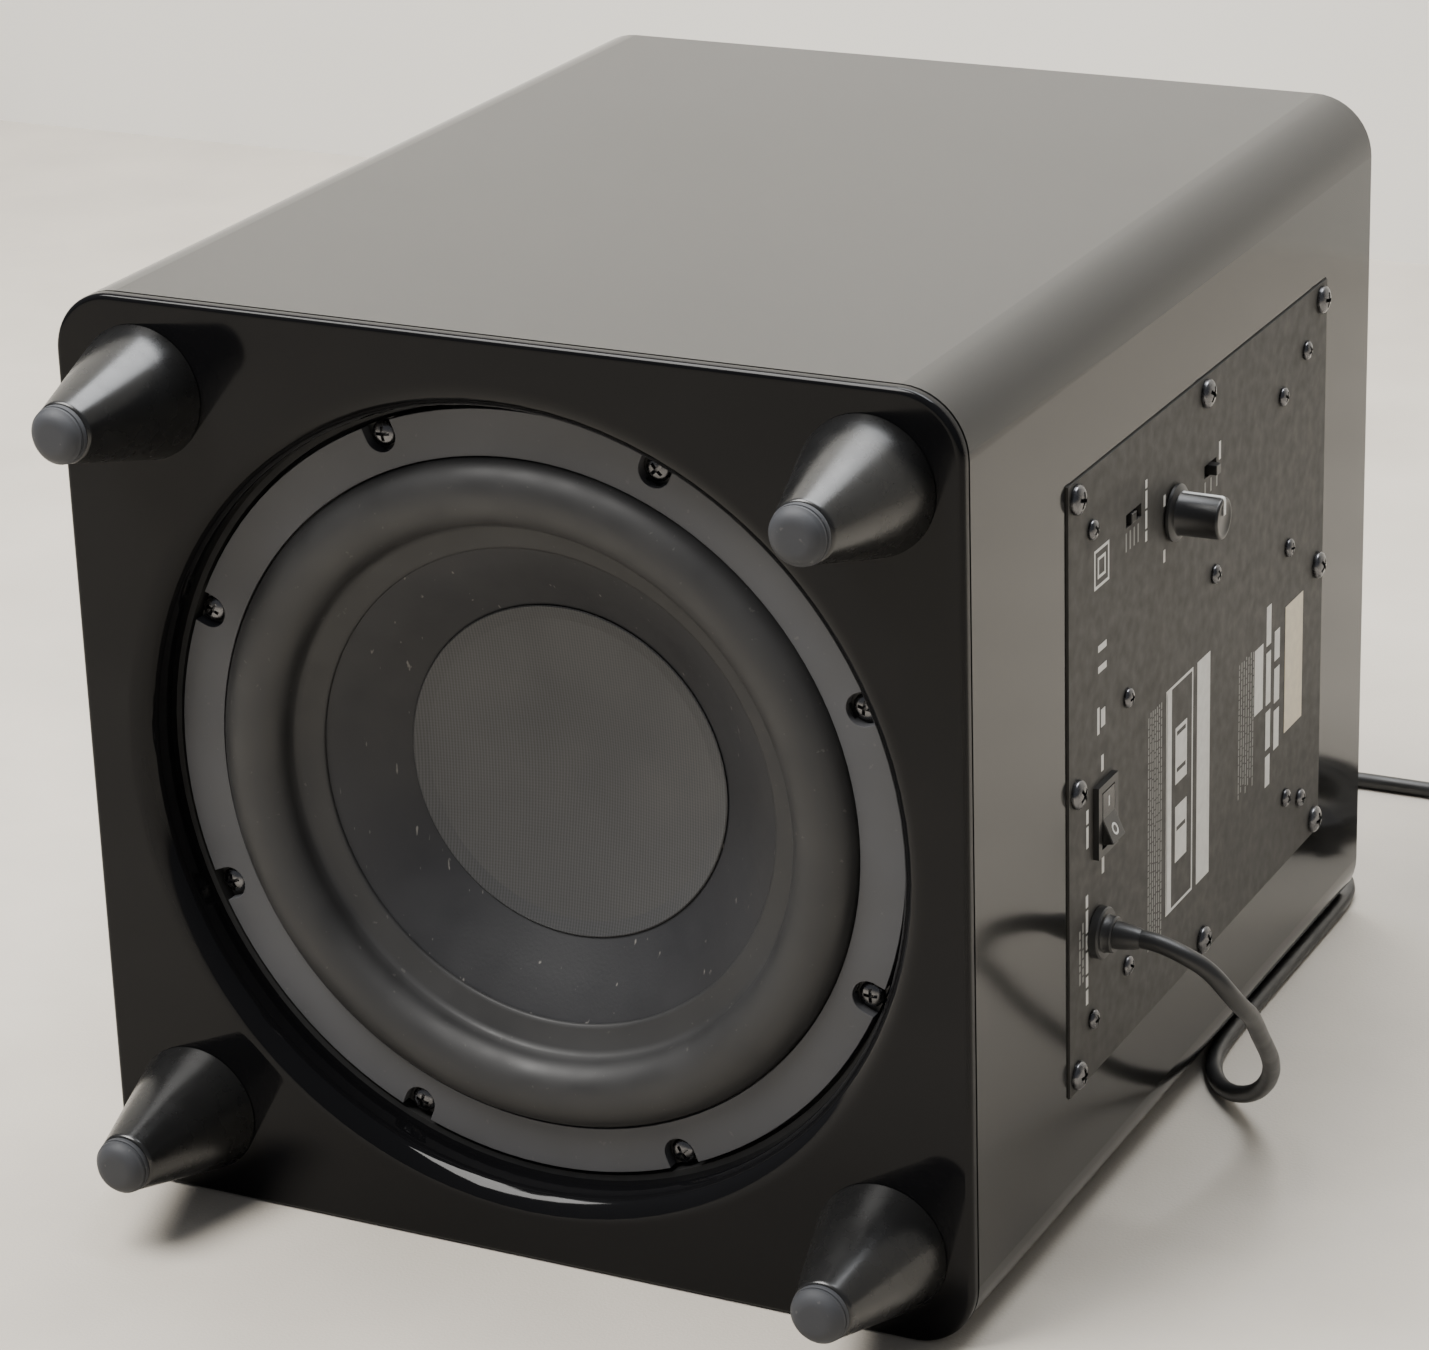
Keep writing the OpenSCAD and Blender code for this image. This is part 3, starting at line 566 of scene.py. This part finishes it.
# ---- feet ----
def make_feet():
    cone = [(0, 0.01), (21.6, 0.01), (22, 0.4), (21.9, 0.9), (10.1, 42.2), (9.9, 43), (9.5, 43.5),
            (9, 43.7), (0, 43.7)]
    tip = [(0, 43.6), (8.8, 43.6), (9.3, 44), (9.4, 44.6), (9.4, 45.3), (9.2, 45.6), (8.8, 45.7),
           (8.8, 46), (9.1, 46.2), (9.0, 46.9)]
    tip += [(4.0 + (r - 4.2) * 1.15, h) for r, h in arc((4.2, 45.8), 4.2, 22, 90, 8)] + [(0, 50)]
    for number in range(1, 5):
        low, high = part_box(f"foot_{number}")
        matrix = towards(((low.x + high.x) / 2, FRONT, (low.z + high.z) / 2), -Y_AXIS)
        body = lathe(f"foot_cone_{number}", [(r * MM, h * MM) for r, h in cone], matrix)
        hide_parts(f"foot_{number}")
        dress(body, FOOT)
        pad = lathe(f"foot_tip_{number}", [(r * MM, h * MM) for r, h in tip], matrix, 72)
        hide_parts(f"foot_pad_{number}")
        dress(pad, FOOT_RUBBER)


# ---- driver ----
def flex(piece):
    """Bakes the piece's placement into its mesh."""
    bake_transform(piece)


def make_driver():
    matrix = on_driver()
    lathe_surround()
    cone_profile = [(90, 21.15), (80.3, 24.5), (68, 32.2), (55, 40.4), (42, 48.6), (27, 58.1), (25.85, 58.9),
                    (25.85, 61.8), (27, 61.8), (27.2, 59.8), (42, 49.9), (68, 33.5), (80.3, 25.8), (90, 22.3)]
    cone = lathe("paper_cone", [(r * MM, d * MM) for r, d in cone_profile], matrix, 192, True, "moving_cone")
    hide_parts("cone")
    dress(cone, CONE)
    dish, edge, cap_r = 11.0, 38.7, 56
    cap_profile = [(r, edge + dish * (1 - (r / cap_r) ** 2) - 0.05)
                   for r in (i * cap_r / 14 for i in range(15))]
    cap_profile += [(56.4, edge + 0.2), (56.2, edge + 0.75), (55.4, edge + 0.9), (0, edge + dish + 0.6)]
    cap = lathe("woven_cap", [(r * MM, d * MM) for r, d in cap_profile], matrix, 144, False, "moving_cone")
    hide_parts("dust_cap")
    dress(cap, CAP)
    ring = softened("driver_trim_ring", 0.4 * MM)
    dress(ring, TRIM)
    basket = softened("driver_basket", 0.3 * MM)
    dress(basket, BASKET)
    for node, look, slot, inner, outer in (("spider", CLOTH, "spider_cloth", 29, 70),
                                           ("tinsel_leads", COPPER, "copper_wire", 51, 79)):
        part = bpy.data.objects.new(node + "_flex", frame["nodes"][node].data.copy())
        bpy.context.scene.collection.objects.link(part)
        flex(part)
        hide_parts(node)
        dress(part, look)


def lathe_surround():
    """The rubber roll, as one fixed ring on no body."""
    crest, seat, foot, middle = 8.3, 19.0, 17.2, 101.25
    roll = [(middle + 11.15 * math.cos(a), foot - (foot - crest) * math.sin(a))
            for a in (math.radians(3 + 174 * i / 28) for i in range(29))]
    lip = [(89.6, 18.9), (88.9, 19.9), (87.6, 20.6), (81.6, 22.8), (80.6, 23.2), (80.2, 23.7), (80.2, 24.4)]
    under = [(88.6, 21.4), (90.6, 20.2), (91.4, 18.6)]
    inner = [(middle + 9.8 * math.cos(a), 18 - (18 - crest - 1.5) * math.sin(a))
             for a in (math.radians(177 - 174 * i / 20) for i in range(21))]
    profile = [(119, seat), (119, 17.4), (112.6, 17.4)] + roll + lip + under + inner + [(111, seat)]
    bm = bmesh.new()
    lathe_into(bm, [(r * MM, d * MM) for r, d in profile], on_driver(), 192, True)
    piece = keep(bm, "rubber_surround", None, 50)
    flex(piece)
    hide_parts("surround")
    dress(piece, SURROUND)


# ---- screws ----
def screw_mesh(head_r, head_h, shaft_r, shaft_l):
    """Pan head with a cross recess."""
    profile = [(0, -shaft_l), (shaft_r * 0.7, -shaft_l), (shaft_r, -shaft_l + 0.5), (shaft_r, -0.05),
               (head_r * 0.97, -0.05), (head_r, 0.15), (head_r, head_h * 0.3)]
    profile += [(head_r * math.cos(a), head_h * (0.3 + 0.7 * math.sin(a)))
                for a in (math.radians(10 * i) for i in range(1, 9))] + [(0, head_h)]
    bm = bmesh.new()
    lathe_into(bm, [(r * MM, h * MM) for r, h in profile], Matrix.Identity(4), 40)
    bmesh.ops.recalc_face_normals(bm, faces=bm.faces)
    head = bpy.data.objects.new("screw", bpy.data.meshes.new("screw"))
    bm.to_mesh(head.data)
    bm.free()
    cut = bmesh.new()
    reach, slot = head_r * 0.56 * MM, head_r * 0.13 * MM
    for turn in (0, math.pi / 2):
        matrix = Matrix.Rotation(turn, 4, "Z")
        box_into(cut, (-reach, -slot, 0.3 * head_h * MM), (reach, slot, 2 * head_h * MM), matrix)
        tool = bpy.data.objects.new("recess", bpy.data.meshes.new("recess"))
        bmesh.ops.recalc_face_normals(cut, faces=cut.faces)
        cut.to_mesh(tool.data)
        cut.clear()
        bpy.context.scene.collection.objects.link(tool)
        if head.name not in bpy.context.scene.collection.objects:
            bpy.context.scene.collection.objects.link(head)
        modifier = head.modifiers.new("recess", "BOOLEAN")
        modifier.object = tool
        modifier.operation = "DIFFERENCE"
        modifier.solver = "EXACT"
        bpy.context.view_layer.update()
        applied(head)
        bpy.data.objects.remove(tool)
    cut.free()
    mesh = head.data
    bpy.data.objects.remove(head)
    return mesh


def make_screws(name, mesh, matrices, node):
    """One piece with a copy of the screw at each place, its recess turned a little differently."""
    bm = bmesh.new()
    for i, matrix in enumerate(matrices):
        start = len(bm.verts)
        bm.from_mesh(mesh)
        bm.verts.ensure_lookup_table()
        turned = matrix @ Matrix.Rotation(math.radians(37 * i % 90), 4, "Z")
        bmesh.ops.transform(bm, matrix=turned, verts=bm.verts[start:])
    piece = keep(bm, name)
    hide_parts(node)
    dress(piece, BLACK_STEEL)


DRIVER_SCREWS = 8
DRIVER_SCREW_R = 124 * MM
DRIVER_FLANGE = 19 * MM
PLATE_PITCH = (112 * MM, 97 * MM)
SMALL_SCREWS = [(-84.3, 72.2), (-84.3, 238.2), (111.7, 72.2), (111.7, 238.2), (-54.3, 78.2),
                (-54.3, 171.7), (96.4, 78.2), (96.4, 171.7), (23.9, 186.7), (88.2, 228.7)]


def make_all_screws():
    driver = screw_mesh(4.2, 2.8, 2, 12)
    places = []
    for k in range(DRIVER_SCREWS):
        a = math.radians(360 / DRIVER_SCREWS * (k + 0.5))
        place = (DRIVER_SCREW_R * math.cos(a), DRIVER_SCREW_R * math.sin(a), DRIVER_FLANGE)
        places.append(on_driver() @ Matrix.Translation(place) @ Matrix.Rotation(math.pi, 4, "X"))
    make_screws("driver_screw_set", driver, places, "driver_screws")
    large = screw_mesh(4.8, 3, 2, 13)
    places = [on_plate(PLATE_Y + i * PLATE_PITCH[0], PLATE_Z + j * PLATE_PITCH[1])
              for i in (-1, 0, 1) for j in (-1, 0, 1) if i or j]
    make_screws("plate_screw_set", large, places, "amp_screws")
    small = screw_mesh(3.3, 2.2, 1.5, 7)
    places = [on_plate(y * MM, z * MM) for y, z in SMALL_SCREWS]
    make_screws("small_screw_set", small, places, "amp_small_screws")


# ---- amplifier plate and its print ----
INK = 0.04 * MM
# Move of the whole print on the plate, in millimetres
PRINT_Y, PRINT_Z = -1.8, 0.7


def ink_bar(bm, y, z, width, height):
    """Flat bar of ink, width along Y and height along Z, given by its centre in millimetres."""
    y, z = y + PRINT_Y, z + PRINT_Z
    box_into(bm, (PLATE_X, (y - width / 2) * MM, (z - height / 2) * MM),
             (PLATE_X + INK, (y + width / 2) * MM, (z + height / 2) * MM))


def ink_frame(bm, y, z, width, height, line):
    """Outline of a box in ink, all sizes in millimetres."""
    for side in (-1, 1):
        ink_bar(bm, y + side * (width - line) / 2, z, line, height)
        ink_bar(bm, y, z + side * (height - line) / 2, width - 2 * line, line)


def ink_words(bm, y, low, high, size, seed):
    """Row of short dashes along Z in place of a line of words."""
    z, step = low, seed
    while z < high - size:
        step = (step * 37 + 11) % 101
        word = size * (1.6 + 2.6 * step / 100)
        word = min(word, high - z)
        ink_bar(bm, y, z + word / 2, size, word)
        z += word + size * 0.55


def make_print():
    """Plain bars and dashes where the plate carries marks and words."""
    bold = bmesh.new()
    ink_frame(bold, -74.1, 222.9, 12.4, 13, 1.0)
    ink_frame(bold, -74.1, 222.9, 6.6, 7, 1.0)
    ink_bar(bold, -73.6, 156.7, 2.0, 5.4)
    ink_bar(bold, -73.2, 121.4, 2.0, 5.4)
    ink_words(bold, -86.3, 132.4, 145.4, 1.8, 5)
    ink_words(bold, -86.8, 78.4, 116.4, 1.9, 9)
    ink_bar(bold, -20.3, 226.6, 1.7, 3.8)
    ink_bar(bold, -20.3, 207.8, 1.7, 4.2)
    ink_words(bold, -36.3, 218.2, 239.4, 1.6, 3)
    ink_bar(bold, 30, 227.8, 1.8, 6.2)
    ink_frame(bold, -5.5, 120, 24.5, 80, 1.0)
    ink_bar(bold, -15, 120, 4.4, 78)
    ink_bar(bold, -4, 106, 10.5, 20)
    ink_bar(bold, -4, 134, 10.5, 20)
    ink_bar(bold, 16.6, 120, 12, 80)
    ink_words(bold, 88.6, 100, 152, 5.2, 31)
    ink_words(bold, 80, 89, 156, 4.6, 17)
    ink_bar(bold, 70.3, 132, 8.4, 24)
    ink_bar(bold, -73.6, 196, 7, 2.2)
    ink_bar(bold, -73.6, 189, 7, 2.2)
    ink_bar(bold, -77, 172, 1.8, 9)
    ink_bar(bold, -73, 172, 3.4, 6)
    piece = keep(bold, "plate_print")
    dress(piece, WHITE_INK)
    fine = bmesh.new()
    for i in range(4):
        ink_bar(fine, -53.5 + 3.4 * i, 223.4, 1.0, 6.2)
    for i in range(3):
        ink_bar(fine, 16.4 + 5.4 * i, 218.6, 1.3, 4.6)
    ink_words(fine, -92.8, 87.7, 106.4, 1.2, 7)
    ink_words(fine, -90.2, 87.7, 108.4, 1.2, 27)
    for i in range(7):
        ink_words(fine, -33.5 + 1.9 * i, 74 + 3 * (i % 2), 158, 0.9, 13 + 4 * i)
    for i in range(7):
        ink_words(fine, 51 + 2.3 * i, 95 + 2 * (i % 3), 145, 0.9, 41 + 3 * i)
    piece = keep(fine, "plate_small_print")
    dress(piece, GREY_INK)
    lines = bmesh.new()
    for z in (96, 110, 131, 144):
        box_into(lines, (PLATE_X + INK, (-8 + PRINT_Y) * MM, (z - 3 + PRINT_Z) * MM),
                 (PLATE_X + 1.5 * INK, PRINT_Y * MM, (z - 1.5 + PRINT_Z) * MM))
    dress(keep(lines, "plate_label_lines"), PLATE)


def make_plate():
    dress(softened("amp_plate", 0.35 * MM), PLATE)
    dress(softened("blank_sticker", 0.03 * MM, 1), STICKER)
    make_print()


# ---- controls ----
KNOB_Y, KNOB_Z = -13.8 * MM, 220.7 * MM
ROCKER_X, ROCKER_Z = 154.9 * MM, 139.4 * MM
ROCKER_TILT = math.radians(12)
ROCKER_FACE = 3 * MM


def make_knob():
    low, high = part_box("volume_knob")
    height = (high.x - low.x) / MM
    profile = [(3, 0.6), (6.3, 0.6), (6.3, 0.02), (9.2, 0.02), (9.6, 0.35), (9.5, 1.2), (8.6, 1.9),
               (7.5, 2.3), (7.15, 2.9), (6.95, height - 0.9)]
    profile += arc((6.15, height - 0.8), 0.8, 0, 90, 5)
    profile += [(5.4, height - 0.05), (5.1, height - 0.25), (0, height - 0.25)]
    knob = lathe("knob_body", [(r * MM, h * MM) for r, h in profile], on_plate(KNOB_Y, KNOB_Z, low.x), 72,
                 False, "volume")
    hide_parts("volume_knob")
    dress(knob, SATIN)
    bm = bmesh.new()
    w = 0.9
    side = [(2.6, 7.45), (3.2, 7.35), (height - 1, 7.3), (height - 0.25, 6.95), (height + 0.1, 6.2),
            (height + 0.1, 1.2), (height - 0.4, 1.2), (height - 0.9, 5.9), (2.6, 6.0)]
    for edge in (-w, w):
        bm.faces.new([bm.verts.new((low.x + h * MM, KNOB_Y + edge * MM, KNOB_Z + r * MM)) for h, r in side])
    bm.verts.ensure_lookup_table()
    count = len(side)
    for k in range(count):
        n = (k + 1) % count
        bm.faces.new([bm.verts[k], bm.verts[n], bm.verts[count + n], bm.verts[count + k]])
    pointer = keep(bm, "knob_line", "volume")
    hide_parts("knob_pointer")
    dress(pointer, WHITE_INK)


def make_sliders():
    """Each slider is a CAD node on a body of the same name."""
    for node in ("crossover_slider", "mode_slider"):
        dress(softened(node, 0.35 * MM, 3, 40, node), SATIN)


def make_rocker():
    """Rocker with rounded ends, a bar at one end and a ring at the other."""
    dress(softened("power_switch", 0.5 * MM, 3), SATIN)
    dress(softened("power_rocker", 0.5 * MM, 3, 25, "rocker"), GLOSS)
    low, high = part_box("power_rocker")
    pivot = Vector((ROCKER_X, (low.y + high.y) / 2, ROCKER_Z))
    bm = bmesh.new()
    base = Matrix.Translation(pivot) @ Matrix.Rotation(-ROCKER_TILT, 4, "Y")
    upper, lower = [base @ Matrix.Translation((ROCKER_FACE, 0, 0)) @ Matrix.Rotation(turn, 4, "Y")
                    for turn in (ROCKER_TILT, -ROCKER_TILT)]
    box_into(bm, (0, -0.45 * MM, 3 * MM), (0.05 * MM, 0.45 * MM, 6.4 * MM), upper)
    ring = [(1.25, -0.05), (1.25, 0.05), (2.0, 0.05), (2.0, -0.05)]
    lathe_into(bm, [(r * MM, h * MM) for r, h in ring],
               lower @ Matrix.Translation((0, 0, -5 * MM)) @ Matrix.Rotation(math.pi / 2, 4, "Y"), 40, True)
    dress(keep(bm, "rocker_marks", "rocker"), WHITE_INK)


# ---- lead fittings ----
def make_bushing():
    """Flanged bushing whose sleeve tapers on to the lead."""
    low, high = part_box("cord_bushing")
    y, z = (low.y + high.y) / 2, (low.z + high.z) / 2
    flange = [(4.5, -8), (6, -8), (6, 0.02), (8.2, 0.02), (8.6, 0.4), (8.6, 2.8), (8.1, 3.4), (6.4, 3.5),
              (6.1, 3.9), (6.0, 6.2), (5.6, 6.7), (4.4, 6.7)]
    taper, start, end = [], 6.3, (high.x - PLATE_X) / MM
    for i in range(8):
        t = i / 8
        taper.append((4.6 - 1.2 * t ** 1.4, start + (end - 0.3 - start) * t))
    taper += [(3.3, end - 0.3), (3.2, end), (2.9, end)]
    piece = lathe("lead_bushing", [(r * MM, h * MM) for r, h in flange + taper + [(2.9, -8)]],
                  on_plate(y, z), 64, True)
    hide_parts("cord_bushing")
    dress(piece, PVC)


def make_plug():
    dress(softened("power_plug", 1.5 * MM, 4, 30), PVC)


# ---- surroundings ----
def make_stage():
    bm = bmesh.new()
    bmesh.ops.create_grid(bm, x_segments=1, y_segments=1, size=4)
    floor = keep(bm, "floor", None)
    look = Look("floor", (0.5, 0.46, 0.4), 0.9)
    look.shade(0.06, 12)
    look.bump(look.noise(900, 4), 0.3 * MM, 0.6)
    floor.data.materials.append(look.material)
    bm = bmesh.new()
    box_into(bm, (-4, 1.0, -0.1), (4, 1.02, 3))
    wall = keep(bm, "wall", None)
    look = Look("wall", (0.8, 0.78, 0.73), 0.9)
    look.shade(0.03, 3)
    wall.data.materials.append(look.material)


def area_light(name, place, target, size, power, color=(1, 1, 1)):
    data = bpy.data.lights.new(name, "AREA")
    data.shape = "RECTANGLE"
    data.size, data.size_y = size
    data.energy = power
    data.color = color
    light = bpy.data.objects.new(name, data)
    bpy.context.scene.collection.objects.link(light)
    light.matrix_world = towards(place, Vector(place) - Vector(target))


def make_lights():
    world = bpy.data.worlds.new("studio")
    bpy.context.scene.world = world
    world.use_nodes = True
    world.node_tree.nodes["Background"].inputs["Color"].default_value = (0.75, 0.78, 0.85, 1)
    world.node_tree.nodes["Background"].inputs["Strength"].default_value = 0.3
    area_light("key", (-0.8, -0.8, 2.2), (0, 0, 0.15), (1.4, 1.3), 120, (1, 0.98, 0.95))
    area_light("overhead", (0.1, 0.5, 2.2), (0, 0, 0.2), (1.6, 1.0), 66, (0.95, 0.97, 1))


make_gloss_panel()
make_feet()
make_driver()
make_all_screws()
make_plate()
make_knob()
make_sliders()
make_rocker()
make_bushing()
make_plug()
dress(mains_lead, PVC)
make_stage()
make_lights()
